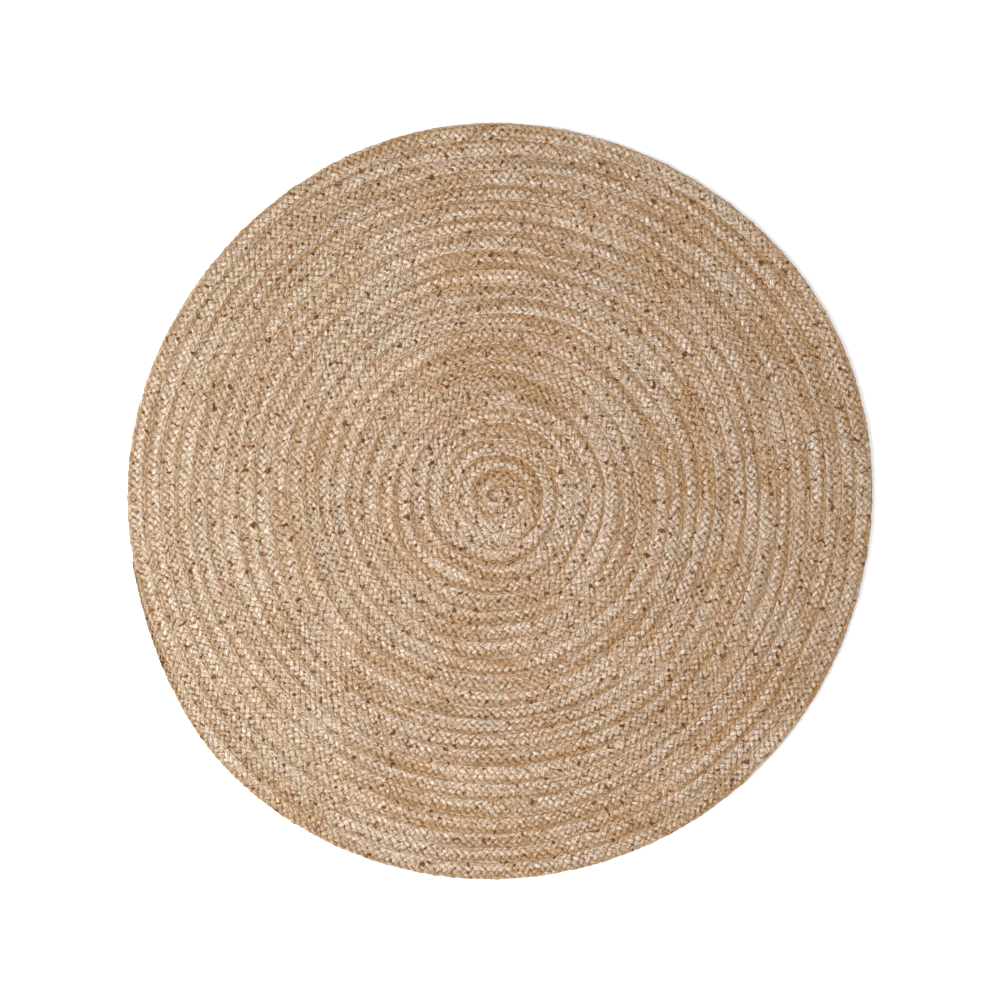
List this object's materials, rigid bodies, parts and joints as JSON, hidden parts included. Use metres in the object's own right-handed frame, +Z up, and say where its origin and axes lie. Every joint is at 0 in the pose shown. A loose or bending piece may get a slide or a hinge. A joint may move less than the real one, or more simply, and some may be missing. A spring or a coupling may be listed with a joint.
{
  "type": "round braided area rug",
  "caption": "Round natural jute area rug: a flat five-strand braid wound in a spiral, laced round to round, with a tapered outer end.",
  "frame": {"origin": "middle of the spiral, on the flat underside", "axes": "+Z up out of the rug, X and Y in the plane of the floor; the outer end of the braid lies at 190 degrees from +X, anticlockwise seen from above"},
  "size_m": [1.2066, 1.2237, 0.01],
  "materials": {
    "jute_braid": "coarse natural jute fibre, matt with a dull sheen, undyed",
    "lacing_thread": "twisted jute twine, matt"
  },
  "bodies": {
    "root": {"braid_start": "jute_braid", "braid_round_01": "jute_braid", "braid_round_02": "jute_braid", "braid_round_03": "jute_braid", "braid_round_04": "jute_braid", "braid_round_05": "jute_braid", "braid_round_06": "jute_braid", "braid_round_07": "jute_braid", "braid_round_08": "jute_braid", "braid_round_09": "jute_braid", "braid_round_10": "jute_braid", "braid_round_11": "jute_braid", "braid_round_12": "jute_braid", "braid_round_13": "jute_braid", "braid_round_14": "jute_braid", "braid_round_15": "jute_braid", "braid_round_16": "jute_braid", "braid_round_17": "jute_braid", "braid_round_18": "jute_braid", "braid_round_19": "jute_braid", "braid_round_20": "jute_braid", "braid_round_21": "jute_braid", "braid_round_22": "jute_braid", "braid_round_23": "jute_braid", "braid_round_24": "jute_braid", "braid_tail": "jute_braid", "lacing_thread": "lacing_thread", "start_stitch_1": "lacing_thread", "start_stitch_2": "lacing_thread", "tail_stitch_1": "lacing_thread", "tail_stitch_2": "lacing_thread", "tail_stitch_3": "lacing_thread", "tail_stitch_4": "lacing_thread"}
  },
  "joints": []
}
